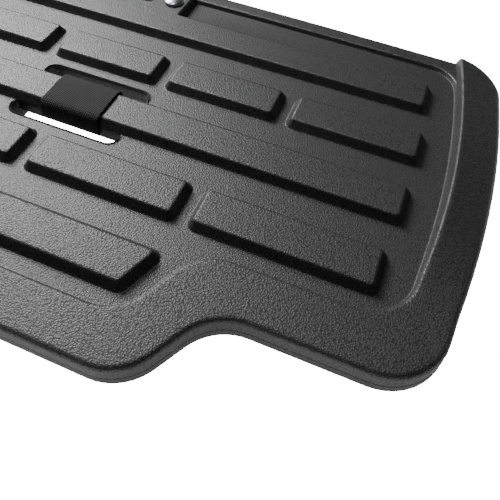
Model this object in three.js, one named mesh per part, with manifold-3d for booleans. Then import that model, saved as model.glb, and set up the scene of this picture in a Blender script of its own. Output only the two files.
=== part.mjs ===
// Tailgate step: a hollow two-shell board with raised tread ribs, a webbing strap round its middle rib
// and a steel hinge bolted to its rear edge. Millimetres, +Z up, +Y to the rear, +X to the right.
import * as THREE from 'three';
import { mergeVertices } from 'three/addons/utils/BufferGeometryUtils.js';
import Module from 'manifold-3d';

const wasm = await Module();
wasm.setup();

// Heights above the ground
const footProud = 1;
const boardThickness = 19;
const fieldDepth = 3.5;
const ribHeight = 6.3;
const lipHeight = 7.5;
const baseZ = footProud;
const rimZ = baseZ + boardThickness;
const fieldZ = rimZ - fieldDepth;
const ribZ = fieldZ + ribHeight;
const lipZ = rimZ + lipHeight;
const seamShare = 0.45;
const seamZ = baseZ + seamShare * boardThickness;
const clearance = 0.3;
const wall = 2.5;
const floorTop = baseZ + wall;
const ceiling = fieldZ - wall;

// Tread ribs, in rows counted from the strap rib
const rowPitch = 50.8;
const ribWidth = 31;
const ribGap = 8;
const middleRibHalf = 41.4;
const innerRibLength = 84;
const frontRibLength = 104.2;
const ribCorner = 5.5;
const ribDraft = 2.4;
const ribRound = 2.6;

// Plan of the board, from the middle of the strap rib: the rows carry the field, the field its border
const halfWidth = 281.5;
const tongueHalf = 126.4;
const sideBorder = 28.7;
const rearBorder = 13.9;
const wingBorder = 30.8;
const tongueBorder = 29.3;
const rearMargin = 25.9;
const wingMargin = 11.3;
const tongueMargin = 11.8;
const fieldHalf = halfWidth - sideBorder;
const fieldRearY = 2 * rowPitch + ribWidth / 2 + rearMargin;
const fieldWingY = -(rowPitch + ribWidth / 2 + wingMargin);
const fieldTongueY = -(2 * rowPitch + ribWidth / 2 + tongueMargin);
const rearY = fieldRearY + rearBorder;
const wingFrontY = fieldWingY - wingBorder;
const tongueFrontY = fieldTongueY - tongueBorder;
const wingHalf = tongueHalf + 27.6;
const rearBow = 7.3e-5;
const sideBow = 7.6e-4;
const sideBowY = 45;
const frontCorner = 35;
const rearCorner = 30;
const sCurve = 33;
const edgeRound = 3.4;
const baseRound = 2.5;
const seamChamfer = 0.4;

// Recessed field
const fieldTongueHalf = tongueHalf - 17.4;
const fieldWingHalf = wingHalf - 21.5;
const fieldRearBow = 5e-5;
const fieldRearCorner = 22;
const fieldBow = 7.8e-4;
const fieldBowY = 27;
const fieldCorner = 30;
const fieldDraft = 1;
const longRibHalf = fieldHalf - 19.8;
const rearRibHalf = fieldHalf - 24.3;
const frontRowHalf = fieldHalf - 23.3;
const tongueRibFront = fieldTongueHalf - 6;
const tongueRibRear = fieldTongueHalf + 6;
const lipStartY = fieldWingY + 3.6;
const lipFullY = 30;
const lipCrestIn = 2.6;
const lipCrestWidth = 5;

// Strap and its two slots
const slotOffset = 4.2;
const slotDepth = 10.2;
const slotCorner = 6.5;
const strapWidth = 44.5;
const slotHalf = strapWidth / 2 + 18.55;
const sliderMargin = 3;
const strapThickness = 1.6;
const strapOffset = 6;
const channelRoof = wall - 1;
const channelZ = seamZ - clearance / 2 - channelRoof - 0.4;
const channelEnd = 1.5;
const buckleThickness = 1.6;

// Rear hinge, its bolts and its pad
const padHalf = 26.4;
const boltX = 12.1;
const boltY = rearY - 28.7;
const boltRadius = 3;
const boltHeadRadius = 7.8;
const boltHeadHeight = 3.4;
const leafThickness = 2;
const leafHalf = 32;
const leafLength = 35;
const recessZ = baseZ + boardThickness / 2;
const recessFrontY = boltY - 15.2;
const recessMargin = 2;
const pinRadius = 2;
const knuckleRadius = 4;
const knuckleGap = 0.5;
const pinGap = 5;
const middleKnuckleHalf = 11.5;
const mountHoleRadius = 3.2;
const mountHoleX = 20;
const nutHeight = 4;
const nutRadius = 5.77;
const washerThickness = 1.2;
const washerRadius = 6;
const spacerWall = 2.5;

// Stiffeners, screws and feet
const tubeWidth = 25;
const tubeWall = 1.5;
const tubeHalf = fieldHalf - 37.8;
const screwRadius = 2;
const screwHeadRadius = 4;
const screwHeadHeight = 2;
const bossRadius = 5;
const footRadius = 8;
const footRecess = 1.3;
const screwPlaces = [
  [halfWidth - 123.5, rowPitch / 2],
  [halfWidth - 123.5, -rowPitch / 2],
  [halfWidth - 39.5, 1.5 * rowPitch],
  [halfWidth - 76.5, wingFrontY + 16.4],
  [tongueHalf - 66.4, tongueFrontY + 15.2],
];
const footPlaces = [
  [halfWidth - 59.5, fieldRearY - 15],
  [halfWidth - 46.5, fieldWingY + 15.6],
  [tongueHalf - 26.4, tongueFrontY + 17.2],
];

const materials = {
  plastic: { color: 0x2b2c2e, roughness: 0.62, metalness: 0 },
  webbing: { color: 0x1d1d1f, roughness: 0.9, metalness: 0 },
  buckle: { color: 0x161617, roughness: 0.5, metalness: 0 },
  zinc: { color: 0xb9bcc0, roughness: 0.35, metalness: 1 },
  aluminium: { color: 0xc4c7ca, roughness: 0.4, metalness: 1 },
  rubber: { color: 0x141414, roughness: 0.95, metalness: 0 },
};

const step = new THREE.Group();
const rear = rearY + pinGap + leafLength;
step.position.y = -(rear + tongueFrontY) / 2;

function toSolid(geometry) {
  const bare = geometry.index ? geometry.clone() : geometry;
  bare.deleteAttribute('normal');
  bare.deleteAttribute('uv');
  const merged = mergeVertices(bare, 1e-4);
  const mesh = new wasm.Mesh({
    numProp: 3,
    vertProperties: new Float32Array(merged.attributes.position.array),
    triVerts: new Uint32Array(merged.index.array),
  });
  return new wasm.Manifold(mesh);
}

function toGeometry(solid) {
  const mesh = solid.getMesh();
  const geometry = new THREE.BufferGeometry();
  geometry.setAttribute('position', new THREE.BufferAttribute(new Float32Array(mesh.vertProperties), 3));
  geometry.setIndex(new THREE.BufferAttribute(new Uint32Array(mesh.triVerts), 1));
  geometry.computeVertexNormals();
  return geometry;
}

function addPart(name, shape, finish, parent = step) {
  const geometry = shape.isBufferGeometry ? shape : toGeometry(shape);
  const mesh = new THREE.Mesh(geometry, new THREE.MeshStandardMaterial(materials[finish]));
  mesh.name = name;
  parent.add(mesh);
  return mesh;
}

// Moves every side of an anticlockwise outline inwards and rounds its corners.
function roundedOutline(corners, inset) {
  const count = corners.length;
  const points = [];
  const lines = corners.map((a, i) => {
    const b = corners[(i + 1) % count];
    const along = new THREE.Vector2(b.x - a.x, b.y - a.y).normalize();
    const inward = new THREE.Vector2(-along.y, along.x);
    return { along, inward, base: new THREE.Vector2(a.x, a.y).addScaledVector(inward, inset) };
  });
  corners.forEach((corner, i) => {
    const before = lines[(i + count - 1) % count];
    const after = lines[i];
    const turn = before.along.cross(after.along);
    const reach = after.base.clone().sub(before.base).cross(after.along) / turn;
    const tip = before.base.clone().addScaledVector(before.along, reach);
    if (!corner.r) {
      points.push(tip);
      return;
    }
    const radius = Math.max(corner.r - Math.sign(turn) * inset, 0.4);
    const angle = Math.asin(turn);
    const bend = before.along.dot(after.along) < 0 ? Math.sign(turn) * Math.PI - angle : angle;
    const tangent = radius * Math.tan(Math.abs(bend) / 2);
    const side = Math.sign(turn);
    const start = tip.clone().addScaledVector(before.along, -tangent);
    const centre = start.clone().addScaledVector(before.inward, side * radius);
    const steps = corner.steps ?? 6;
    for (let k = 0; k <= steps; k += 1) {
      const spoke = start.clone().sub(centre).rotateAround(new THREE.Vector2(), (bend * k) / steps);
      points.push(centre.clone().add(spoke));
    }
  });
  return points;
}

// A closed solid through one outline at several heights, each with its own inset.
function layered(corners, levels) {
  const rings = levels.map(([z, inset]) => roundedOutline(corners, inset).map((p) => [p.x, p.y, z]));
  const size = rings[0].length;
  const positions = rings.flat(2);
  const index = [];
  for (let level = 0; level + 1 < rings.length; level += 1) {
    for (let i = 0; i < size; i += 1) {
      const a = level * size + i;
      const b = level * size + ((i + 1) % size);
      index.push(a, b, b + size, a, b + size, a + size);
    }
  }
  const cap = (ring, offset, flip) => {
    const flat = ring.map(([x, y]) => new THREE.Vector2(x, y));
    THREE.ShapeUtils.triangulateShape(flat, []).forEach(([a, b, c]) => {
      index.push(offset + a, offset + (flip ? c : b), offset + (flip ? b : c));
    });
  };
  cap(rings[0], 0, true);
  cap(rings.at(-1), positions.length / 3 - size, false);
  const geometry = new THREE.BufferGeometry();
  geometry.setAttribute('position', new THREE.Float32BufferAttribute(positions, 3));
  geometry.setIndex(index);
  return toSolid(geometry);
}

function mirrored(rightSide) {
  const left = rightSide.map((corner) => ({ ...corner, x: -corner.x })).reverse();
  return [...rightSide, ...left];
}

function rectangle(x0, x1, y0, y1, r = 0, steps = 2) {
  return [[x0, y0], [x1, y0], [x1, y1], [x0, y1]].map(([x, y]) => ({ x, y, r, steps }));
}

function rod(radius, z0, z1, x = 0, y = 0, sides = 12) {
  const geometry = new THREE.CylinderGeometry(radius, radius, z1 - z0, sides);
  geometry.rotateX(Math.PI / 2);
  geometry.translate(x, y, (z0 + z1) / 2);
  return toSolid(geometry);
}

function block(x0, x1, y0, y1, z0, z1) {
  const geometry = new THREE.BoxGeometry(x1 - x0, y1 - y0, z1 - z0);
  geometry.translate((x0 + x1) / 2, (y0 + y1) / 2, (z0 + z1) / 2);
  return toSolid(geometry);
}

function bowed(half, bow, middle, y) {
  return half - bow * (y - middle) ** 2;
}

// The board's outline and the field's outline
const sideX = (y) => bowed(halfWidth, sideBow, sideBowY, y);
const fieldX = (y) => bowed(fieldHalf, fieldBow, fieldBowY, y);
const rearStations = [180, 100, 35];
const rearAt = (x) => bowed(rearY, rearBow, 0, x);
const fieldRearAt = (x) => bowed(fieldRearY, fieldRearBow, 0, x);
const sideStations = [-40, 0, 40, 80];
const rearCornerX = sideX(rearY - rearCorner / 2);
const fieldCornerX = fieldX(fieldRearY);
const boardOutline = mirrored([
  { x: tongueHalf, y: tongueFrontY, r: sCurve, steps: 9 },
  { x: wingHalf, y: wingFrontY, r: sCurve, steps: 9 },
  { x: sideX(wingFrontY + frontCorner / 2), y: wingFrontY, r: frontCorner, steps: 10 },
  ...sideStations.map((y) => ({ x: sideX(y), y })),
  { x: rearCornerX, y: rearAt(rearCornerX), r: rearCorner, steps: 10 },
  ...rearStations.map((x) => ({ x, y: rearAt(x) })),
]);
const fieldOutline = mirrored([
  { x: fieldTongueHalf, y: fieldTongueY, r: fieldCorner, steps: 6 },
  { x: fieldWingHalf, y: fieldWingY, r: fieldCorner, steps: 6 },
  { x: fieldX(fieldWingY + fieldCorner / 2), y: fieldWingY, r: fieldCorner, steps: 6 },
  ...sideStations.map((y) => ({ x: fieldX(y), y })),
  { x: fieldCornerX, y: fieldRearAt(fieldCornerX), r: fieldRearCorner, steps: 6 },
  ...rearStations.map((x) => ({ x, y: fieldRearAt(x) })),
]);

// Tread ribs, row by row
const rowY = (row) => row * rowPitch;
const ribAt = (x0, x1, row) => {
  const half = ribWidth / 2;
  return rectangle(x0, x1, rowY(row) - half, rowY(row) + half, ribCorner);
};
const rearInner = middleRibHalf + ribGap;
const rearOuter = rearInner + innerRibLength + ribGap;
const frontInner = ribGap / 2;
const frontOuter = frontInner + frontRibLength + ribGap;
const tongueRib = [
  { x: -tongueRibFront, y: rowY(-2) - ribWidth / 2, r: ribCorner, steps: 2 },
  { x: tongueRibFront, y: rowY(-2) - ribWidth / 2, r: ribCorner, steps: 2 },
  { x: tongueRibRear, y: rowY(-2) + ribWidth / 2, r: ribCorner, steps: 2 },
  { x: -tongueRibRear, y: rowY(-2) + ribWidth / 2, r: ribCorner, steps: 2 },
];
const bothSides = (x0, x1, row) => [ribAt(x0, x1, row), ribAt(-x1, -x0, row)];
const ribs = [
  ribAt(-rearRibHalf, rearRibHalf, 2),
  ribAt(-middleRibHalf, middleRibHalf, 1),
  ...bothSides(rearInner, rearInner + innerRibLength, 1),
  ...bothSides(rearOuter, longRibHalf, 1),
  ribAt(-longRibHalf, longRibHalf, 0),
  ...bothSides(frontInner, frontInner + frontRibLength, -1),
  ...bothSides(frontOuter, frontRowHalf, -1),
  tongueRib,
];
const boltPad = rectangle(-padHalf, padHalf, rowY(2), fieldRearY + fieldDraft, ribCorner);

function ribLevels(bottom) {
  const top = ribDraft + ribRound;
  return [
    [bottom, 0],
    [fieldZ, 0],
    [ribZ - ribRound, ribDraft],
    [ribZ - ribRound * 0.3, ribDraft + ribRound * 0.3],
    [ribZ, top],
  ];
}

function ribHollow(corners) {
  return layered(corners, [[ceiling - 1, wall], [fieldZ, wall], [ribZ - wall, wall + ribDraft]]);
}

// The raised crescent along each side: highest at its inner edge, sloping down to the outer edge.
function sideLip() {
  const end = rearAt(rearCornerX);
  const shares = [0.01, 0.05, 0.12, 0.24, 0.37, 0.55, 0.73, 0.84, 0.91, 0.95, 0.978, 0.991];
  const stations = shares.map((share) => THREE.MathUtils.lerp(lipStartY, end, share));
  const tip = stations.at(-1);
  const rise = (y) => lipHeight * THREE.MathUtils.smoothstep(y, lipStartY, lipFullY) * (y === tip ? 0.55 : 1);
  const cornerX = (y) => {
    const into = Math.max(0, y - (end - rearCorner));
    return sideX(y) - (rearCorner - Math.sqrt(Math.max(rearCorner ** 2 - into ** 2, 0)));
  };
  const sections = stations.map((y) => {
    const inner = fieldX(y);
    const outer = Math.max(cornerX(y) - edgeRound * 0.7, inner + 7);
    const low = rimZ - 2;
    const high = rimZ + Math.max(rise(y), 0.05);
    return [
      [inner, y, low],
      [outer, y, low],
      [outer, y, rimZ - 0.3],
      [(inner + outer) / 2, y, (high + rimZ) / 2 + 0.3],
      [inner + lipCrestWidth, y, high - 0.3],
      [inner + lipCrestIn, y, high],
      [inner + 1, y, high - 1.4 * Math.min(1, rise(y))],
    ];
  });
  const size = sections[0].length;
  const index = [];
  for (let s = 0; s + 1 < sections.length; s += 1) {
    for (let i = 0; i < size; i += 1) {
      const a = s * size + i;
      const b = s * size + ((i + 1) % size);
      index.push(a, a + size, b + size, a, b + size, b);
    }
  }
  for (let i = 1; i + 1 < size; i += 1) {
    const last = (sections.length - 1) * size;
    index.push(0, i, i + 1);
    index.push(last, last + i + 1, last + i);
  }
  const geometry = new THREE.BufferGeometry();
  geometry.setAttribute('position', new THREE.Float32BufferAttribute(sections.flat(2), 3));
  geometry.setIndex(index);
  return toSolid(geometry);
}

// Slots through the board, one on each side of the strap rib
const slotInner = ribWidth / 2 + clearance;
const slotOutline = (side) => {
  const y0 = side > 0 ? slotInner : -slotInner - slotDepth;
  return rectangle(slotOffset - slotHalf, slotOffset + slotHalf, y0, y0 + slotDepth).map((corner) => ({
    ...corner,
    r: Math.abs(corner.y) > slotInner + 1 ? slotCorner : 1.5,
    steps: Math.abs(corner.y) > slotInner + 1 ? 4 : 1,
  }));
};
const slots = [1, -1].map((side) => layered(slotOutline(side), [[-1, 0], [ribZ + 5, 0]]));
const slotCollars = (z0, z1) => [1, -1].map((side) => layered(slotOutline(side), [[z0, -wall], [z1, -wall]]));
const places = (list) => list.flatMap(([x, y]) => [[x, y], [-x, y]]);
const bolts = [[boltX, boltY], [-boltX, boltY]];
const strapLeft = strapOffset - strapWidth / 2;
const strapRight = strapOffset + strapWidth / 2;
const channelLeft = slotOffset - slotHalf + channelEnd;
const channelRight = slotOffset + slotHalf - channelEnd;

function joined(solid, list) {
  return list.reduce((sum, item) => sum.add(item), solid);
}

function cut(solid, list) {
  return list.reduce((rest, item) => rest.subtract(item), solid);
}

// Top shell: treads, field, rim and side lips, hollow below
const topSeam = seamZ + clearance / 2;
const spacerRadius = boltRadius + spacerWall;
const spacerTop = ribZ - wall;
const lip = sideLip();
let topShell = layered(boardOutline, [
  [topSeam, seamChamfer],
  [topSeam + seamChamfer, 0],
  [rimZ - edgeRound, 0],
  [rimZ - edgeRound * 0.3, edgeRound * 0.3],
  [rimZ, edgeRound],
]);
topShell = topShell.subtract(layered(fieldOutline, [[fieldZ, fieldDraft], [rimZ + 0.01, 0], [lipZ, -0.1]]));
topShell = topShell.add(lip).add(lip.mirror([1, 0, 0]));
topShell = topShell.subtract(layered(boardOutline, [[topSeam - 1, wall], [ceiling, wall]]));
topShell = joined(topShell, ribs.map((corners) => layered(corners, ribLevels(fieldZ - wall / 2))));
topShell = topShell.add(layered(boltPad, ribLevels(fieldZ - wall / 2)));
topShell = cut(topShell, ribs.map(ribHollow));
topShell = joined(topShell, slotCollars(topSeam, ceiling + 1));
topShell = joined(topShell, places(screwPlaces).map(([x, y]) => rod(bossRadius, topSeam, ceiling + 1, x, y)));
topShell = cut(topShell, slots);
topShell = cut(topShell, bolts.flatMap(([x, y]) => [
  rod(boltRadius + clearance, 0, lipZ, x, y),
  rod(spacerRadius + 2 * clearance, ceiling - 1, spacerTop + clearance, x, y),
]));
const recessHalf = leafHalf + recessMargin;
const recessMouth = block(-recessHalf, recessHalf, rearY - wall - 1, rearY + 5, -1, recessZ);
topShell = topShell.subtract(recessMouth);
const screwTip = ceiling - 1;
topShell = cut(topShell, places(screwPlaces).map(([x, y]) => rod(screwRadius + clearance, 0, screwTip + 0.5, x, y)));
addPart('deck_top_shell', topShell, 'plastic');

// Bottom shell: flat tray with bosses, strap channel, hinge recess and foot pockets
const baseSeam = seamZ - clearance / 2;
let bottomShell = layered(boardOutline, [
  [baseZ, baseRound],
  [baseZ + baseRound, 0],
  [baseSeam - seamChamfer, 0],
  [baseSeam, seamChamfer],
]);
bottomShell = bottomShell.subtract(layered(boardOutline, [[floorTop, wall], [seamZ + 1, wall]]));
bottomShell = joined(bottomShell, slotCollars(floorTop - 1, baseSeam));
bottomShell = bottomShell.add(
  block(channelLeft - wall, channelRight + wall, -slotInner, slotInner, floorTop - 1, channelZ + channelRoof),
);
const recessWall = wall - 1;
const recessRoof = recessZ + recessWall;
bottomShell = bottomShell.add(block(
  -recessHalf - wall, recessHalf + wall, recessFrontY - wall, rearY - wall / 2, floorTop - 1, baseSeam,
));
bottomShell = bottomShell.add(block(
  -recessHalf - wall, recessHalf + wall, recessFrontY - wall, rearY - wall - clearance, seamZ - 1, recessRoof,
));
bottomShell = joined(bottomShell, places(screwPlaces).map(([x, y]) => rod(bossRadius, floorTop - 1, baseSeam, x, y)));
bottomShell = cut(bottomShell, slots);
bottomShell = bottomShell.subtract(block(channelLeft, channelRight, -slotInner - 1, slotInner + 1, -1, channelZ));
bottomShell = bottomShell.subtract(block(-recessHalf, recessHalf, recessFrontY, rearY + 5, -1, recessZ));
bottomShell = cut(bottomShell, bolts.map(([x, y]) => rod(boltRadius + clearance, 0, ribZ, x, y)));
const headSeat = baseZ + screwHeadHeight + clearance;
bottomShell = cut(bottomShell, places(screwPlaces).flatMap(([x, y]) => [
  rod(screwRadius + clearance, 0, ribZ, x, y),
  rod(screwHeadRadius + clearance, 0, headSeat, x, y),
]));
const footPocket = places(footPlaces).map(([x, y]) => rod(footRadius + clearance, 0, baseZ + footRecess, x, y, 16));
bottomShell = cut(bottomShell, footPocket);
addPart('deck_bottom_shell', bottomShell, 'plastic');

// Rectangular stiffener tubes lying in the hollow under the two rows of short ribs
function stiffener(name, y) {
  const z0 = floorTop + clearance;
  const z1 = ceiling - clearance;
  const outer = block(-tubeHalf, tubeHalf, y - tubeWidth / 2, y + tubeWidth / 2, z0, z1);
  const inner = block(
    -tubeHalf - 1, tubeHalf + 1, y - tubeWidth / 2 + tubeWall, y + tubeWidth / 2 - tubeWall, z0 + tubeWall, z1 - tubeWall,
  );
  addPart(name, outer.subtract(inner), 'aluminium');
}
stiffener('rear_stiffener_tube', rowY(1));
stiffener('front_stiffener_tube', rowY(-1));

// Webbing strap: one flat loop over the rib, down both slots and across the channel below
function strapLoop(out) {
  const flank = slotInner + clearance + out;
  const shoulder = ribWidth / 2 - ribDraft - ribRound + out * 0.6;
  const top = ribZ + clearance + out;
  const bottom = channelZ - clearance - out;
  const hip = fieldZ + 1.2;
  const turn = 0.2 + out * 0.8;
  return [
    [-shoulder, top], [-shoulder - 3.1, top - 1.4], [-flank, hip], [-flank, bottom + turn], [-flank + turn, bottom],
    [flank - turn, bottom], [flank, bottom + turn], [flank, hip], [shoulder + 3.1, top - 1.4], [shoulder, top],
  ].map(([y, z]) => new THREE.Vector2(y, z));
}
const strapShape = new THREE.Shape(strapLoop(strapThickness));
strapShape.holes.push(new THREE.Path(strapLoop(0)));
const strapGeometry = new THREE.ExtrudeGeometry(strapShape, { depth: strapWidth, bevelEnabled: false });
strapGeometry.applyMatrix4(new THREE.Matrix4().makeBasis(
  new THREE.Vector3(0, 1, 0), new THREE.Vector3(0, 0, 1), new THREE.Vector3(1, 0, 0),
));
strapGeometry.translate(strapLeft, 0, 0);
addPart('pull_strap', toSolid(strapGeometry), 'webbing');

// Three-bar slider that closes the strap's loop below the rib
const buckleTop = channelZ - 2 * clearance - strapThickness;
const buckleFrame = layered(
  rectangle(strapLeft - sliderMargin, strapRight + sliderMargin, -11, 11, sliderMargin),
  [[buckleTop - buckleThickness, 0], [buckleTop, 0]],
);
const buckleSlots = [[-8, -2], [2, 8]].map(([y0, y1]) => layered(
  rectangle(strapLeft, strapRight, y0, y1, 1),
  [[-1, 0], [channelZ, 0]],
));
addPart('strap_slider', cut(buckleFrame, buckleSlots), 'buckle');

// Carriage bolts from the pad down to the hinge, each with a spacer, a washer and a nut
function turned(profile, sides = 16) {
  const geometry = new THREE.LatheGeometry(profile.map(([r, z]) => new THREE.Vector2(r, z)), sides);
  geometry.rotateX(Math.PI / 2);
  return toSolid(geometry);
}

const leafTop = recessZ - clearance;
const leafBottom = leafTop - leafThickness;
const washerTop = leafBottom - clearance;
const nutTop = washerTop - washerThickness - clearance;
const boltEnd = nutTop - nutHeight - 0.5;
const headSeatZ = ribZ + clearance;
function carriageBolt() {
  const crown = [];
  const rings = 5;
  for (let k = 0; k <= rings; k += 1) {
    const angle = (Math.PI / 2) * (k / rings);
    crown.push([boltHeadRadius * Math.cos(angle), headSeatZ + 0.6 + (boltHeadHeight - 0.6) * Math.sin(angle)]);
  }
  crown[rings][0] = 0;
  return turned([[0, boltEnd], [boltRadius, boltEnd], [boltRadius, headSeatZ], [boltHeadRadius, headSeatZ], ...crown]);
}

const hexNut = () => {
  const outside = new THREE.CylinderGeometry(nutRadius, nutRadius, nutHeight, 6);
  outside.rotateX(Math.PI / 2);
  outside.translate(0, 0, nutTop - nutHeight / 2);
  return toSolid(outside).subtract(rod(boltRadius + clearance, 0, lipZ));
};
const washer = () => rod(washerRadius, washerTop - washerThickness, washerTop, 0, 0, 16)
  .subtract(rod(boltRadius + clearance, 0, lipZ));
const spacer = () => rod(spacerRadius, recessRoof + clearance, spacerTop, 0, 0, 16)
  .subtract(rod(boltRadius + clearance, 0, lipZ));
bolts.forEach(([x, y], i) => {
  const side = ['right', 'left'][i];
  [['hinge_bolt', carriageBolt()], ['hinge_washer', washer()], ['hinge_nut', hexNut()], ['bolt_spacer', spacer()]]
    .forEach(([name, solid]) => {
      addPart(`${name}_${side}`, solid, 'zinc').position.set(x, y, 0);
    });
});

// Butt hinge: one leaf under the deck, one leaf for the tailgate, and the pin through their knuckles
const pinY = rearY + pinGap;
const pinZ = (leafTop + leafBottom) / 2;
function barrel(radius, x0, x1) {
  const geometry = new THREE.CylinderGeometry(radius, radius, x1 - x0, 16);
  geometry.rotateZ(Math.PI / 2);
  geometry.translate((x0 + x1) / 2, pinY, pinZ);
  return toSolid(geometry);
}
const pinBore = barrel(pinRadius + clearance, -leafHalf - 5, leafHalf + 5);
const knuckleClear = barrel(
  knuckleRadius + knuckleGap, -middleKnuckleHalf - knuckleGap, middleKnuckleHalf + knuckleGap,
);
let deckLeaf = block(-leafHalf, leafHalf, recessFrontY + 2, pinY, leafBottom, leafTop);
deckLeaf = deckLeaf.add(barrel(knuckleRadius, -leafHalf, leafHalf)).subtract(knuckleClear).subtract(pinBore);
deckLeaf = cut(deckLeaf, bolts.map(([x, y]) => rod(boltRadius + clearance, 0, lipZ, x, y)));
addPart('hinge_deck_leaf', deckLeaf, 'zinc');

const outerKnuckles = [[-leafHalf - 1, -middleKnuckleHalf], [middleKnuckleHalf, leafHalf + 1]];
let mountLeaf = block(-leafHalf, leafHalf, pinY, pinY + leafLength, leafBottom, leafTop);
mountLeaf = cut(mountLeaf, outerKnuckles.map(([x0, x1]) => barrel(knuckleRadius + knuckleGap, x0, x1)));
mountLeaf = mountLeaf.add(barrel(knuckleRadius, -middleKnuckleHalf, middleKnuckleHalf)).subtract(pinBore);
const mountHoleY = pinY + leafLength * 0.6;
mountLeaf = cut(mountLeaf, [1, -1].map((side) => rod(mountHoleRadius, 0, lipZ, side * mountHoleX, mountHoleY)));
addPart('hinge_mount_leaf', mountLeaf, 'zinc');

const pinHead = barrel(pinRadius + 1.2, leafHalf + clearance, leafHalf + clearance + 1.5);
addPart('hinge_pin', barrel(pinRadius, -leafHalf - 1.5, leafHalf + 1).add(pinHead), 'zinc');

// Shell screws, driven up from below, and rubber feet pressed into their pockets
const screwProfile = [
  [0, baseZ + clearance], [screwHeadRadius, baseZ + clearance], [screwHeadRadius, headSeat - clearance],
  [screwRadius, headSeat - clearance], [screwRadius, screwTip - 1.5], [0, screwTip],
];
places(screwPlaces).forEach(([x, y], i) => {
  addPart(`shell_screw_${i + 1}`, turned(screwProfile, 10), 'zinc').position.set(x, y, 0);
});

const footTop = baseZ + footRecess - clearance;
const footProfile = [[0, 0], [footRadius - 0.6, 0], [footRadius, 0.5], [footRadius, footTop], [0, footTop]];
places(footPlaces).forEach(([x, y], i) => {
  addPart(`rubber_foot_${i + 1}`, turned(footProfile), 'rubber').position.set(x, y, 0);
});

export default step;
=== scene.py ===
import math

import bmesh
import bpy
import numpy as np
from mathutils import Matrix, Vector
from mathutils.geometry import delaunay_2d_cdt


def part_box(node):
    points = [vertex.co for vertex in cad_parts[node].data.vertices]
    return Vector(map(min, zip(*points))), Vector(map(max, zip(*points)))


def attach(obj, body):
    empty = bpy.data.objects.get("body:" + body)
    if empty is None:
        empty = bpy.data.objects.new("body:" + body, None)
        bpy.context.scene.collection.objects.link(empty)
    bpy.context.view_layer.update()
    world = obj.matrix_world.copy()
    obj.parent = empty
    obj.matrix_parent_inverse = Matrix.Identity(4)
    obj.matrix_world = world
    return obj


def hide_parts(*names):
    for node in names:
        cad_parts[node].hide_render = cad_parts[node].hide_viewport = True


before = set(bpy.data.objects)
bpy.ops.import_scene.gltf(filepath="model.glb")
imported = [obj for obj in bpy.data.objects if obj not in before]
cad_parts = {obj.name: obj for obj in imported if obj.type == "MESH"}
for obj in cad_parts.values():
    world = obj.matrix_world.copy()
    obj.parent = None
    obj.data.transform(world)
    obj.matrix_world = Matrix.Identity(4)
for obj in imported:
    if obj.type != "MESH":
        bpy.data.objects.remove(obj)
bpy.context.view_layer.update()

# ---------------------------------------------------------------------------------------------------
# Studio: a glowing white table, one soft light high on the left and a narrow one overhead. Nothing
# lights the front. The camera stands close over the right front corner and looks at the rear left.
# ---------------------------------------------------------------------------------------------------
lens = 41.57
camera_place = (0.2098, -0.2536, 0.2955)
azimuth, elevation, roll = math.radians(-18.745), math.radians(47.713), math.radians(-3.882)
reach_level = math.cos(elevation)
ahead = Vector((math.sin(azimuth) * reach_level, math.cos(azimuth) * reach_level, -math.sin(elevation)))
level = Vector((math.cos(azimuth), -math.sin(azimuth), 0))
down = ahead.cross(level)
right = math.cos(roll) * level + math.sin(roll) * down
low = ahead.cross(right)
camera = bpy.data.objects.new("camera", bpy.data.cameras.new("camera"))
bpy.context.scene.collection.objects.link(camera)
turn = Matrix((right, -low, -ahead)).transposed()
camera.matrix_world = Matrix.Translation(camera_place) @ turn.to_4x4()
camera.data.lens = lens
camera.data.sensor_width = 36
camera.data.shift_y = -0.2
camera.data.clip_start = 0.01
bpy.context.scene.camera = camera


def area_light(name, place, target, size, watts, colour=(1, 1, 1)):
    lamp = bpy.data.lights.new(name, "AREA")
    lamp.shape = "RECTANGLE"
    lamp.size, lamp.size_y = size
    lamp.energy = watts
    lamp.color = colour
    holder = bpy.data.objects.new(name, lamp)
    bpy.context.scene.collection.objects.link(holder)
    holder.location = place
    holder.rotation_euler = (Vector(target) - Vector(place)).to_track_quat("-Z", "Y").to_euler()
    return holder


area_light("left_light", (-0.82, 0.52, 0.8), (-0.1, -0.05, 0), (0.6, 0.5), 34)
area_light("overhead_light", (-0.15, 0.02, 1.2), (-0.05, 0, 0), (0.4, 0.1), 3)

world = bpy.data.worlds.new("studio")
bpy.context.scene.world = world
world.use_nodes = True
world.node_tree.nodes["Background"].inputs[0].default_value = (1, 1, 1, 1)
world.node_tree.nodes["Background"].inputs[1].default_value = 0.04


class Line:
    """A shader socket that takes part in Python arithmetic: every operator adds one Math node."""

    def __init__(self, tree, socket):
        self.tree, self.socket = tree, socket

    def maths(self, operation, *values):
        return Line.node(self.tree, "ShaderNodeMath", {"operation": operation}, dict(enumerate(values)))

    @staticmethod
    def node(tree, kind, settings=None, inputs=None, output=0):
        made = tree.nodes.new(kind)
        for key, value in (settings or {}).items():
            if key == "stops":
                ramp = made.color_ramp
                for index, (place, colour) in enumerate(value):
                    stop = ramp.elements[index] if index < 2 else ramp.elements.new(place)
                    stop.position, stop.color = place, (*colour, 1)
            else:
                setattr(made, key, value)
        for key, value in (inputs or {}).items():
            if isinstance(value, Line):
                tree.links.new(value.socket, made.inputs[key])
            else:
                made.inputs[key].default_value = value
        return Line(tree, made.outputs[output])

    def __add__(self, other):
        return self.maths("ADD", self, other)

    def __mul__(self, other):
        return self.maths("MULTIPLY", self, other)

    __radd__ = __add__
    __rmul__ = __mul__


def new_material(name, **uniform):
    material = bpy.data.materials.new(name)
    material.use_nodes = True
    tree = material.node_tree
    shader = tree.nodes["Principled BSDF"]
    for key, value in uniform.items():
        shader.inputs[key.replace("_", " ")].default_value = value
    return material, tree, shader


def feed(tree, shader, **lines):
    for key, line in lines.items():
        tree.links.new(line.socket, shader.inputs[key.replace("_", " ")])


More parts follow.
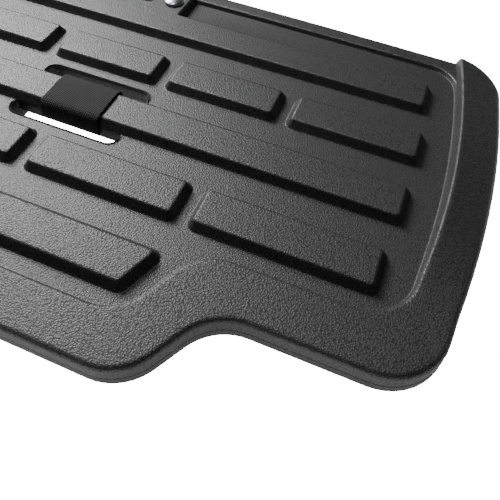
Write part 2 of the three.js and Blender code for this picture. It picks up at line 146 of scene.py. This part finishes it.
def object_place(tree, scale=1.0):
    place = Line.node(tree, "ShaderNodeTexCoord", output=3)
    return Line.node(tree, "ShaderNodeVectorMath", {"operation": "SCALE"}, {0: place, "Scale": scale})


def speckle(tree, place, scale, detail):
    """A noise in real metres that breaks up a surface."""
    return Line.node(tree, "ShaderNodeTexNoise", None, {"Vector": place, "Scale": scale, "Detail": detail})


def tinted(tree, stops, line):
    """A colour between two stops, picked by a line."""
    return Line.node(tree, "ShaderNodeValToRGB", {"stops": stops}, {0: line})


def raised(tree, line, strength, lift):
    """A bump that lifts the surface by a line."""
    return Line.node(tree, "ShaderNodeBump", None, {"Height": line, "Strength": strength, "Distance": lift})


def table_top(name, height, glow):
    """A broad white glowing sheet, as a light table is."""
    edge = 6.0
    mesh = bpy.data.meshes.new(name)
    sheet_corners = [(x * edge, y * edge, height) for x, y in ((-1, -1), (1, -1), (1, 1), (-1, 1))]
    mesh.from_pydata(sheet_corners, [], [(0, 1, 2, 3)])
    sheet = bpy.data.objects.new(name, mesh)
    bpy.context.scene.collection.objects.link(sheet)
    paint, tree, shader = new_material(name + "_white", Roughness=0.9, Emission_Strength=glow)
    mottle = Line.node(tree, "ShaderNodeTexNoise", None, {"Vector": object_place(tree, 2.0), "Scale": 1.5})
    white = tinted(tree, [(0.3, (0.97,) * 3), (0.7, (1.0,) * 3)], mottle)
    feed(tree, shader, Base_Color=white, Emission_Color=white)
    mesh.materials.append(paint)
    return sheet


backdrop = table_top("backdrop", -0.0006, 16.0)
backdrop.visible_diffuse = backdrop.visible_glossy = backdrop.visible_shadow = False
table = table_top("table", -0.0003, 0.55)
table.visible_camera = False

# ---------------------------------------------------------------------------------------------------
# Top shell: black polypropylene, moulded in one piece with its treads, rim and side lips. The tool's
# etched face leaves a fine leather grain, and every edge has the soft round that moulding gives.
# ---------------------------------------------------------------------------------------------------
mm = 0.001
shell_low, shell_high = (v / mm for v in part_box("deck_top_shell"))
strap_low, strap_high = (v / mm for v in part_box("pull_strap"))
middle_y = (strap_low.y + strap_high.y) / 2
half_width = shell_high.x
rear_y = shell_high.y - middle_y
tongue_y = shell_low.y - middle_y
lip_rise, field_depth = 7.5, 3.5
rim_z = shell_high.z - lip_rise
field_z = rim_z - field_depth
seam_z = shell_low.z
wing_y = -108.4
shell_wall = 2.5
edge_round = 3.4
row_pitch, rib_width = 50.8, 31.0


def rounded_outline(corners, inset=0.0, steps=10):
    """Points of an anticlockwise outline (x, y, radius) with its sides moved in and its corners rounded."""
    sides = []
    for (x0, y0, _), (x1, y1, _) in zip(corners, corners[1:] + corners[:1]):
        along = Vector((x1 - x0, y1 - y0)).normalized()
        inward = Vector((-along.y, along.x))
        sides.append((along, inward, Vector((x0, y0)) + inward * inset))
    points = []
    for i, (_, _, radius) in enumerate(corners):
        (along, inward, base), (after, _, after_base) = sides[i - 1], sides[i]
        cross = along.x * after.y - along.y * after.x
        gap = after_base - base
        tip = base + along * ((gap.x * after.y - gap.y * after.x) / cross)
        if not radius:
            points.append(tip)
            continue
        side = math.copysign(1, cross)
        radius = max(radius - side * inset, 0.3)
        bend = math.atan2(cross, along.dot(after))
        start = tip - along * radius * math.tan(abs(bend) / 2)
        centre = start + inward * side * radius
        spoke = start - centre
        for k in range(steps + 1):
            turned = Matrix.Rotation(bend * k / steps, 2) @ spoke
            points.append(centre + turned)
    return np.array([tuple(p) for p in points])


def mirrored(right_side):
    return right_side + [(-x, y, r) for x, y, r in reversed(right_side)]


def bowed(half, bow, middle, y):
    return half - bow * (y - middle) ** 2


def side_x(y):
    return bowed(half_width, 7.6e-4, 45, y)


def field_x(y):
    return bowed(252.8, 7.8e-4, 27, y)


def rear_at(x):
    return bowed(rear_y, 7.3e-5, 0, x)


def field_rear_at(x):
    return bowed(field_rear_y, 5e-5, 0, x)


rear_corner_x = side_x(rear_y - 15)
board_corners = mirrored(
    [(126.4, tongue_y, 33), (154, wing_y, 33), (side_x(wing_y + 17.5), wing_y, 35)]
    + [(side_x(y), y, 0) for y in np.arange(-60, 121, 15)]
    + [(rear_corner_x, rear_at(rear_corner_x), 30)]
    + [(x, rear_at(x), 0) for x in np.arange(220, 19, -20)]
)
field_rear_y, field_wing_y = 143.0, -77.6
field_corner_x = field_x(field_rear_y)
field_corners = mirrored(
    [(109, -128.9, 30), (132.5, field_wing_y, 30), (field_x(field_wing_y + 15), field_wing_y, 30)]
    + [(field_x(y), y, 0) for y in np.arange(-40, 115, 14)]
    + [(field_corner_x, field_rear_at(field_corner_x), 22)]
    + [(x, field_rear_at(x), 0) for x in np.arange(200, 19, -20)]
)


def rib_corners(x0, x1, row, slant=0.0):
    y0, y1 = row * row_pitch - rib_width / 2, row * row_pitch + rib_width / 2
    return [(x0 + slant, y0, 5.5), (x1 - slant, y0, 5.5), (x1, y1, 5.5), (x0, y1, 5.5)]


rear_row = [(-41.4, 41.4), (49.4, 133.4), (141.4, 233), (-133.4, -49.4), (-233, -141.4)]
front_row = [(4, 108.2), (116.2, 229.5), (-108.2, -4), (-229.5, -116.2)]
ribs = [rib_corners(-228.5, 228.5, 2), rib_corners(-233, 233, 0), rib_corners(-115, 115, -2, 12)]
ribs += [rib_corners(x0, x1, 1) for x0, x1 in rear_row]
ribs += [rib_corners(x0, x1, -1) for x0, x1 in front_row]
pad = [(-26.4, 95, 3), (26.4, 95, 3), (26.4, field_rear_y + 6, 3), (-26.4, field_rear_y + 6, 3)]


slot_middle, slot_half = 4.2, 40.8
slot_gap, slot_depth = 0.3, 10.2


def slot_corners(side):
    near = rib_width / 2 + slot_gap
    far = near + slot_depth
    left, right = slot_middle - slot_half, slot_middle + slot_half
    if side > 0:
        return [(left, near, 1.5), (right, near, 1.5), (right, far, 6.5), (left, far, 6.5)]
    return [(left, -far, 6.5), (right, -far, 6.5), (right, -near, 1.5), (left, -near, 1.5)]


slots = [slot_corners(1), slot_corners(-1)]


def depth_inside(outline, points):
    """Distance of each point to an outline, positive inside it."""
    a, b = outline, np.roll(outline, -1, axis=0)
    best = np.full(len(points), 1e9)
    inside = np.zeros(len(points), bool)
    for (ax, ay), (bx, by) in zip(a, b):
        edge = np.array((bx - ax, by - ay))
        rel = points - (ax, ay)
        share = np.clip((rel @ edge) / max(edge @ edge, 1e-12), 0, 1)
        best = np.minimum(best, np.hypot(*(rel - share[:, None] * edge).T))
        crosses = (ay > points[:, 1]) != (by > points[:, 1])
        with np.errstate(divide="ignore", invalid="ignore"):
            where = ax + (points[:, 1] - ay) * (bx - ax) / (by - ay if by != ay else 1e-12)
        inside ^= crosses & (points[:, 0] < where)
    return np.where(inside, best, -best)


# Cross-sections, as (distance in from the foot, height): the treads, the field's wall and the side lip
rib_section = np.array([
    (-1.5, 0), (-0.9, 0), (-0.6, 0.06), (-0.3, 0.25), (0.0, 0.6), (0.35, 1.1), (2.0, 3.9), (2.8, 5.2),
    (3.05, 5.6), (3.4, 5.93), (3.8, 6.15), (4.3, 6.27), (4.8, 6.3), (5.6, 6.3),
])
field_section = np.array([
    (-2.4, 0), (-1.7, 0), (-1.3, 0.1), (-1.0, 0.45), (-0.35, 2.1), (-0.1, 2.6), (0.25, 3.0), (0.8, 3.32),
    (1.4, 3.46), (2.1, 3.5), (2.8, 3.5),
])
lip_section = np.array([
    (-0.35, 0), (-0.1, 0.18), (0.25, 0.42), (0.8, 0.74), (1.2, 0.88), (1.7, 0.96), (2.3, 0.995), (3.0, 1.0),
    (4.0, 0.98),
])
round_angles = np.radians([0, 12, 26, 40, 54, 68, 80, 90])
edge_insets = edge_round * (1 - np.cos(round_angles))
slot_round = 1.0
slot_insets = np.array([0, 0.12, 0.4, 0.8, 1.2, 1.6, 2.0, 2.6, 3.4])
bead_rise, bead_out, bead_width = 1.0, 1.3, 0.5

board_edge = rounded_outline(board_corners)
field_edge = rounded_outline(field_corners)
rib_edges = [rounded_outline(c, 0, 5) for c in ribs]
pad_edge = rounded_outline(pad, 0, 5)
slot_edges = [rounded_outline(c, 0, 6) for c in slots]


def smoothstep(value, low, high):
    t = np.clip((value - low) / (high - low), 0, 1)
    return t * t * (3 - 2 * t)


def top_height(points):
    from_edge = np.clip(depth_inside(board_edge, points), 0, None)
    out = np.clip(edge_round - from_edge, 0, None)
    height = rim_z - edge_round + np.sqrt(np.clip(edge_round ** 2 - out ** 2, 0, None))
    past_wall = -depth_inside(field_edge, points)
    height += np.interp(past_wall, *field_section.T) - field_section[-1, 1]
    x, y = np.abs(points[:, 0]), points[:, 1]
    across = x - field_x(y)
    span = np.maximum(side_x(y) - field_x(y), 8)
    slope = np.clip(1 - (across - 4) / (span - 4), 0, 1) ** 0.9 * lip_section[-1, 1]
    lip = np.where(across < 4, np.interp(across, *lip_section.T), slope)
    soft = np.clip(from_edge / (edge_round * 1.6), 0, 1)
    height += lip * lip_rise * smoothstep(y, -74, 30) * np.sqrt(1 - (1 - soft) ** 2)
    treads = np.zeros(len(points))
    for outline in rib_edges + [pad_edge]:
        treads = np.maximum(treads, np.interp(depth_inside(outline, points), *rib_section.T))
    in_field = past_wall < 1.5
    height = np.where(in_field, np.maximum(height, field_z + treads * (treads > 0)), height)
    for outline in slot_edges:
        outside = -depth_inside(outline, points)
        gone = np.clip(slot_round - outside, 0, slot_round)
        height -= slot_round - np.sqrt(slot_round ** 2 - gone ** 2)
        clear_of_rib = smoothstep(np.abs(y), rib_width / 2 + 1, rib_width / 2 + 4)
        height += clear_of_rib * bead_rise * np.exp(-((outside - bead_out) / bead_width) ** 2)
    return height


def flat_net(loops, curves=()):
    """Triangles of the plane that follow every closed loop and open curve."""
    points, edges = [], []
    for loop in loops:
        first = len(points)
        points += [Vector(p) for p in loop]
        edges += [(first + i, first + (i + 1) % len(loop)) for i in range(len(loop))]
    for curve in curves:
        first = len(points)
        points += [Vector(p) for p in curve]
        edges += [(first + i, first + i + 1) for i in range(len(curve) - 1)]
    net = delaunay_2d_cdt(points, edges, [], 0, 1e-4)
    return np.array([tuple(p) for p in net[0]]), np.array([f for f in net[2] if len(f) == 3])


loops = [rounded_outline(board_corners, i) for i in edge_insets]
loops += [rounded_outline(board_corners, i) for i in (edge_round * 1.6, 9.0)]
loops += [rounded_outline(field_corners, -s) for s in field_section[:, 0]]
for corners in ribs:
    loops += [rounded_outline(corners, s, 5) for s in rib_section[:, 0]]
loops += [rounded_outline(pad, s, 5) for s in rib_section[1:, 0]]
for corners in slots:
    loops += [rounded_outline(corners, -s, 6) for s in slot_insets]
stations = np.append(np.arange(-84, 148, 8.0), (147.5, 149.0, 150.2, 150.8))
lip_lines = []
for out in (1.2, 1.7, 2.3, 3.0, 4.0, 6.0, 9.0, 12.5, 16.0, 20.0):
    for side in (1, -1):
        line = np.array([(side * (field_x(y) + out), y) for y in stations])
        lip_lines.append(line[depth_inside(board_edge, line) > 0.3])
for out in (-0.35, -0.1, 0.25, 0.8):
    for side in (1, -1):
        reach = np.append(stations[stations > 117], (151.6, 152.4, rear_y))
        end = np.array([(side * (field_x(y) + out), y) for y in reach])
        lip_lines.append(end)
plan, faces = flat_net(loops, lip_lines)
middles = plan[faces].mean(axis=1)
keep = depth_inside(board_edge, middles) > 0
for outline in slot_edges:
    keep &= depth_inside(outline, middles) < 0
faces = faces[keep]


def new_piece(name, points, polygons, body, material, smooth=True):
    mesh = bpy.data.meshes.new(name)
    mesh.from_pydata([tuple(p) for p in points], [], [tuple(int(i) for i in f) for f in polygons])
    mesh.validate()
    piece = bpy.data.objects.new(name, mesh)
    bpy.context.scene.collection.objects.link(piece)
    mesh.materials.append(material)
    if smooth:
        mesh.shade_smooth()
    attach(piece, body)
    return piece


def upright(points, height):
    """Plan points in millimetres from the middle rib, at a height, as places in metres."""
    height = np.broadcast_to(height, len(points))
    return np.column_stack((points[:, 0], points[:, 1] + middle_y, height)) * mm


def grained(name, dark, light, depth=0.00042):
    """Moulded black plastic: rounded cells about a millimetre wide, with finer pits and a faint clouding.
    The cells and pits are bumps, and their light and shade is also painted into the colour as dark and light
    speckle.
    """
    material, tree, shader = new_material(name)
    place = object_place(tree)
    cells = Line.node(tree, "ShaderNodeTexVoronoi", {"feature": "F1"}, {"Vector": place, "Scale": 1000.0})
    pits = speckle(tree, place, 1500.0, 2.0)
    cloud = speckle(tree, place, 9.0, 4.0)
    grain_and_painted_shade = cells * 0.6 + pits * 0.4
    bump = raised(tree, grain_and_painted_shade, 1.0, depth)
    # Colour: painted light and shade of the grain, dark and light speckle cell by cell, with a faint random
    # clouding of the plastic's own tone.
    colour = tinted(tree, [(0.25, light), (0.75, dark)], grain_and_painted_shade * 0.85 + cloud * 0.15)
    feed(tree, shader, Base_Color=colour, Normal=bump, Roughness=grain_and_painted_shade * 0.4 + cloud * 0.1 + 0.2)
    return material


# The dark and light ends are the extremes of the grain's painted light and shade speckle.
shell_plastic = grained("grained_polypropylene", (0.002, 0.002, 0.0021), (0.060, 0.060, 0.061), 0.00032)

top = new_piece("shell_top_skin", upright(plan, top_height(plan)), faces, "deck", shell_plastic)


def close_shell(piece, seam, ceiling):
    """Carries the skin's edges down to the seam and closes it with the hollow's walls and ceiling."""
    work = bmesh.new()
    work.from_mesh(piece.data)
    rims = [e for e in work.edges if e.is_boundary]
    drop = bmesh.ops.extrude_edge_only(work, edges=rims)["geom"]
    for vert in (g for g in drop if isinstance(g, bmesh.types.BMVert)):
        lifted = abs(vert.co.x) < 34 * mm and vert.co.y > (rear_y + middle_y - 4) * mm
        vert.co.z = (seam + (1.0 if lifted else 0.0)) * mm
    edges = [g for g in drop if isinstance(g, bmesh.types.BMEdge)]
    inward = bmesh.ops.extrude_edge_only(work, edges=edges)["geom"]
    lid = [g for g in inward if isinstance(g, bmesh.types.BMVert)]
    spots = np.array([v.co for v in lid]) / mm
    spots[:, 1] -= middle_y
    flat = spots[:, :2]
    inner = rounded_outline(board_corners, shell_wall)
    collars = [rounded_outline(c, -shell_wall, 6) for c in slots]
    for vert, spot in zip(lid, flat):
        targets = [inner] + collars
        gaps = [np.hypot(*(t - spot).T) for t in targets]
        pick = int(np.argmin([g.min() for g in gaps]))
        goal = targets[pick][int(gaps[pick].argmin())]
        vert.co.x, vert.co.y = goal[0] * mm, (goal[1] + middle_y) * mm
    bmesh.ops.remove_doubles(work, verts=work.verts, dist=1e-6)
    rims = [e for e in work.edges if e.is_boundary]
    up = bmesh.ops.extrude_edge_only(work, edges=rims)["geom"]
    for vert in (g for g in up if isinstance(g, bmesh.types.BMVert)):
        vert.co.z = ceiling * mm
    rims = [e for e in work.edges if e.is_boundary]
    bmesh.ops.triangle_fill(work, use_beauty=True, edges=rims)
    bmesh.ops.recalc_face_normals(work, faces=work.faces)
    work.to_mesh(piece.data)
    work.free()


close_shell(top, seam_z, field_z - shell_wall)
top.data.shade_smooth()
top.data.set_sharp_from_angle(angle=math.radians(40))
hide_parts("deck_top_shell")


def refined(node, body, material, crease=35.0, edge=0.0):
    """A piece on a CAD node's own shape, shaded smooth up to its creases, with a fine broken edge."""
    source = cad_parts[node]
    mesh = source.data.copy()
    mesh.transform(source.matrix_world)
    mesh.materials.clear()
    mesh.materials.append(material)
    piece = bpy.data.objects.new(node + "_finish", mesh)
    bpy.context.scene.collection.objects.link(piece)
    mesh.shade_smooth()
    mesh.set_sharp_from_angle(angle=math.radians(crease))
    if edge:
        bevel = piece.modifiers.new("broken_edge", "BEVEL")
        bevel.width, bevel.segments, bevel.limit_method = edge * mm, 2, "ANGLE"
        bevel.angle_limit = math.radians(crease)
    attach(piece, body)
    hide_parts(node)
    return piece


def turned(node, profile, body, material, slot_name, sides=48):
    """A round piece about a CAD node's upright middle, from (radius, height, cross) rows, bottom first."""
    low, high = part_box(node)
    centre_x, centre_y = (low.x + high.x) / 2, (low.y + high.y) / 2
    angles = np.linspace(0, 2 * math.pi, sides, endpoint=False)
    rings = []
    for radius, height, cross in profile:
        reach = radius * (1 - cross * (1 - np.abs(np.cos(2 * angles)) ** 5)) * mm
        flat = np.column_stack((centre_x + reach * np.cos(angles), centre_y + reach * np.sin(angles)))
        rings.append(np.column_stack((flat, np.full(sides, height * mm))))
    points = np.vstack(rings)
    polygons = [tuple(range(sides))[::-1], tuple(range(len(points) - sides, len(points)))]
    for level in range(len(rings) - 1):
        for i in range(sides):
            a, b = level * sides + i, level * sides + (i + 1) % sides
            polygons.append((a, b, b + sides, a + sides))
    piece = new_piece(node + "_turned", points, polygons, body, material)
    piece.data.set_sharp_from_angle(angle=math.radians(38))
    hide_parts(node)
    return piece


# ---------------------------------------------------------------------------------------------------
# Bottom shell: the same polypropylene, a flat tray that meets the top shell at a seam part way down the
# side. Its underside has the strap's channel, the hinge's recess and pockets for screws and feet.
# ---------------------------------------------------------------------------------------------------
# The same painted light and shade speckle of the grain as the top shell, with less contrast.
tray_plastic = grained("tray_polypropylene", (0.014, 0.014, 0.0145), (0.045, 0.045, 0.0465), 0.0004)
refined("deck_bottom_shell", "deck", tray_plastic, crease=30)

# ---------------------------------------------------------------------------------------------------
# Pull strap: woven polyester webbing, 44.5 mm wide, one loop round the middle rib. It lies flat on the
# tread, leans out over the rib's shoulders and drops through both slots into the channel below.
# ---------------------------------------------------------------------------------------------------
webbing, tree, shader = new_material("woven_webbing")
weave = Line.node(tree, "ShaderNodeTexCoord", output=2)
across = Line.node(tree, "ShaderNodeSeparateXYZ", None, {0: weave})
along = Line(tree, across.socket.node.outputs[1])
rib_phase = across * (2 * math.pi / 1.5) + along * (2 * math.pi / 5.2)
twill = rib_phase.maths("SINE", rib_phase)
pick_phase = along * (2 * math.pi / 1.1)
picks = pick_phase.maths("SINE", pick_phase)
fuzz = speckle(tree, object_place(tree), 2600.0, 2.0)
wear = speckle(tree, object_place(tree), 60.0, 4.0)
threads_and_painted_shade = twill * 0.32 + picks * 0.14 + fuzz * 0.3 + 0.4
bump = raised(tree, threads_and_painted_shade, 0.9, 0.0005)
# Colour: painted shade of the weave, with its crowns lighter and the gaps between threads darker, plus
# random wear and fuzz in the tone.
colour = tinted(tree, [(0.15, (0.001,) * 3), (0.95, (0.012,) * 3)], threads_and_painted_shade * 0.75 + wear * 0.3)
feed(tree, shader, Base_Color=colour, Normal=bump, Roughness=fuzz * 0.2 + wear * 0.1 + 0.68)


def softened(points, rounds):
    """Cuts the corners of a closed line, so that cloth bends over them."""
    for _ in range(rounds):
        ahead_points = np.roll(points, -1, axis=0)
        near, far = points * 0.75 + ahead_points * 0.25, points * 0.25 + ahead_points * 0.75
        points = np.stack((near, far), 1).reshape(-1, 2)
    return points


def spaced(points, step):
    """Points of a closed line at even steps."""
    closed = np.vstack((points, points[:1]))
    run = np.append(0, np.cumsum(np.hypot(*np.diff(closed, axis=0).T)))
    where = np.linspace(0, run[-1], int(run[-1] / step), endpoint=False)
    return np.column_stack([np.interp(where, run, closed[:, k]) for k in range(2)]), where, run[-1]


strap_thick = 1.6
loop_bottom = strap_low.z + strap_thick / 2
loop_top = strap_high.z - strap_thick / 2
flank, shoulder = (strap_high.y - strap_low.y) / 2 - strap_thick / 2, rib_width / 2 - 4.0
loop = np.array([
    (-shoulder, loop_top), (-shoulder - 3.3, loop_top - 1.5), (-flank, field_z + 1.0), (-flank, loop_bottom),
    (flank, loop_bottom), (flank, field_z + 1.0), (shoulder + 3.3, loop_top - 1.5), (shoulder, loop_top),
])
loop, travelled, loop_length = spaced(softened(loop, 3), 0.9)
tangent = np.roll(loop, -1, axis=0) - np.roll(loop, 1, axis=0)
tangent /= np.hypot(*tangent.T)[:, None]
outward = np.column_stack((tangent[:, 1], -tangent[:, 0]))
if (outward * (loop - loop.mean(axis=0))).sum() < 0:
    outward = -outward
strap_half = (strap_high.x - strap_low.x) / 2
strap_middle = (strap_high.x + strap_low.x) / 2
selvedge = np.array([0, 0.25, 0.7, 1.4])
body_of_web = np.linspace(-strap_half + 2.6, strap_half - 2.6, 22)
columns = np.concatenate((-strap_half + selvedge, body_of_web, strap_half - selvedge[::-1]))
from_edge = strap_half - np.abs(columns)
thickness = strap_thick / 2 * np.sqrt(np.clip(1 - (1 - np.clip(from_edge / 0.8, 0, 1)) ** 2, 0.08, 1))
rolled = np.concatenate((columns, columns[::-1][1:-1]))
offsets = np.concatenate((thickness, -thickness[::-1][1:-1]))
across_count = len(rolled)
points, marks = [], []
for (y, z), (out_y, out_z), run in zip(loop, outward, travelled):
    edge_wave = 0.12 * np.sin(run / 2.2)
    for x, offset in zip(rolled, offsets):
        sway = edge_wave * (abs(x) / strap_half) ** 4
        lift, width = offset + sway, 1 - 0.004 * abs(edge_wave)
        points.append((strap_middle + x * width, y + out_y * lift, z + out_z * lift))
        marks.append((x + strap_half, run))
points, marks = np.array(points), np.array(marks)
polygons = []
for i in range(len(loop)):
    for j in range(across_count):
        a, b = i * across_count + j, i * across_count + (j + 1) % across_count
        c = ((i + 1) % len(loop)) * across_count
        polygons.append((a, b, c + (j + 1) % across_count, c + j))
strap = new_piece("webbing_strap", upright(points[:, :2], points[:, 2]), polygons, "deck", webbing)
layer = strap.data.uv_layers.new(name="weave")
for polygon in strap.data.polygons:
    seam = polygon.vertices[0] >= (len(loop) - 1) * across_count
    for corner in polygon.loop_indices:
        vertex = strap.data.loops[corner].vertex_index
        wrap = loop_length if seam and vertex < across_count else 0.0
        layer.data[corner].uv = (marks[vertex][0], marks[vertex][1] + wrap)
strap.data.set_sharp_from_angle(angle=math.radians(70))
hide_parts("pull_strap")

# ---------------------------------------------------------------------------------------------------
# Strap slider: a three-bar slide moulded in black acetal, which closes the strap's loop in the channel
# under the board. Its bars are smooth and faintly scuffed by the webbing.
# ---------------------------------------------------------------------------------------------------
acetal, tree, shader = new_material("moulded_acetal")
scuff = speckle(tree, object_place(tree), 240.0, 5.0)
bump = raised(tree, scuff, 0.3, 0.0001)
tint = tinted(tree, [(0.3, (0.010,) * 3), (0.8, (0.022,) * 3)], scuff)
feed(tree, shader, Base_Color=tint, Normal=bump, Roughness=scuff * 0.3 + 0.25)
refined("strap_slider", "deck", acetal, edge=0.35)

# ---------------------------------------------------------------------------------------------------
# Steel parts: bright zinc plate on carriage bolts, washers, nuts, spacers, screws and the butt hinge.
# The plating is slightly cloudy, with fine scratches where the parts were handled and tightened.
# ---------------------------------------------------------------------------------------------------


def plated(name, dark, light, rough):
    material, tree, shader = new_material(name, Metallic=1.0)
    place = object_place(tree)
    cloud = speckle(tree, place, 180.0, 5.0)
    stretch = {0: place, 1: (40.0, 900.0, 900.0)}
    drawn = Line.node(tree, "ShaderNodeVectorMath", {"operation": "MULTIPLY"}, stretch)
    lines = speckle(tree, drawn, 4.0, 3.0)
    bump = raised(tree, lines, 0.25, 0.00006)
    tint = tinted(tree, [(0.3, dark), (0.7, light)], cloud)
    feed(tree, shader, Base_Color=tint, Normal=bump, Roughness=cloud * 0.2 + lines * 0.1 + rough)
    return material


zinc = plated("zinc_plate", (0.42, 0.43, 0.45), (0.60, 0.61, 0.62), 0.16)
drawn_aluminium = plated("drawn_aluminium", (0.66, 0.67, 0.68), (0.80, 0.80, 0.80), 0.3)
for side in ("right", "left"):
    bolt_low, bolt_high = (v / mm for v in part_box(f"hinge_bolt_{side}"))
    head_radius = (bolt_high.x - bolt_low.x) / 2
    head_seat, head_skirt, shank = bolt_high.z - 3.4, 0.6, 3.0
    dome = np.radians([0, 8, 18, 30, 42, 54, 66, 78, 87])
    profile = [(shank - 0.5, bolt_low.z, 0), (shank, bolt_low.z + 0.5, 0), (shank, head_seat, 0)]
    profile += [(head_radius - 0.35, head_seat, 0), (head_radius, head_seat + 0.25, 0)]
    crown = bolt_high.z - head_seat - head_skirt
    profile += [(head_radius * math.cos(a), head_seat + head_skirt + crown * math.sin(a), 0) for a in dome]
    turned(f"hinge_bolt_{side}", profile, "deck", zinc, "zinc_steel")
    for node in (f"hinge_washer_{side}", f"hinge_nut_{side}", f"bolt_spacer_{side}"):
        refined(node, "deck", zinc, edge=0.2)
refined("hinge_deck_leaf", "deck", zinc, edge=0.25)
refined("hinge_pin", "deck", zinc, edge=0.25)
refined("hinge_mount_leaf", "mount_leaf", zinc, edge=0.25)

screw_names = [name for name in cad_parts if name.startswith("shell_screw_")]
for node in screw_names:
    screw_low, screw_high = (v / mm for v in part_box(node))
    head = (screw_high.x - screw_low.x) / 2
    under, tip = screw_low.z, screw_high.z
    profile = [
        (0.5, under + 1.3, 0.3), (1.9, under + 1.1, 0.55), (2.3, under, 0.55), (2.6, under, 0),
        (head - 0.5, under, 0), (head - 0.1, under + 0.3, 0), (head, under + 0.8, 0), (head, under + 1.6, 0),
        (2, under + 1.7, 0),
    ]
    for turn_z in np.arange(under + 2.2, tip - 1.6, 0.8):
        profile += [(1.6, turn_z, 0), (2.0, turn_z + 0.35, 0), (1.6, turn_z + 0.7, 0)]
    profile += [(1.2, tip - 0.6, 0), (0.3, tip, 0)]
    turned(node, profile, "deck", zinc, "zinc_steel", 32)

# ---------------------------------------------------------------------------------------------------
# Stiffener tubes: two lengths of drawn rectangular aluminium tube, lying flat in the hollow between the
# shells under the two rows of short treads. They stay hidden once the shells are screwed together.
# ---------------------------------------------------------------------------------------------------
for node in ("rear_stiffener_tube", "front_stiffener_tube"):
    refined(node, "deck", drawn_aluminium, edge=0.3)

# ---------------------------------------------------------------------------------------------------
# Feet: small black rubber discs pressed into round pockets in the tray. Each has a rolled rim and a dished
# face that grips, and a dull, dusty surface.
# ---------------------------------------------------------------------------------------------------
rubber, tree, shader = new_material("dusty_rubber")
dust = speckle(tree, object_place(tree), 420.0, 6.0)
bump = raised(tree, dust, 0.5, 0.0002)
tint = tinted(tree, [(0.35, (0.012,) * 3), (0.75, (0.035,) * 3)], dust)
feed(tree, shader, Base_Color=tint, Normal=bump, Roughness=dust * 0.2 + 0.7)
for node in [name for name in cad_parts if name.startswith("rubber_foot_")]:
    foot_low, foot_high = (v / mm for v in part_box(node))
    reach, base, crest = (foot_high.x - foot_low.x) / 2, foot_low.z, foot_high.z
    profile = [
        (0.4, base + 0.5, 0), (4.6, base + 0.45, 0), (5.2, base + 0.15, 0), (5.7, base, 0), (6.9, base, 0),
        (7.6, base + 0.15, 0), (reach, base + 0.6, 0), (reach, crest - 0.2, 0), (reach - 0.2, crest, 0),
        (0.4, crest, 0),
    ]
    turned(node, profile, "deck", rubber, "black_rubber")
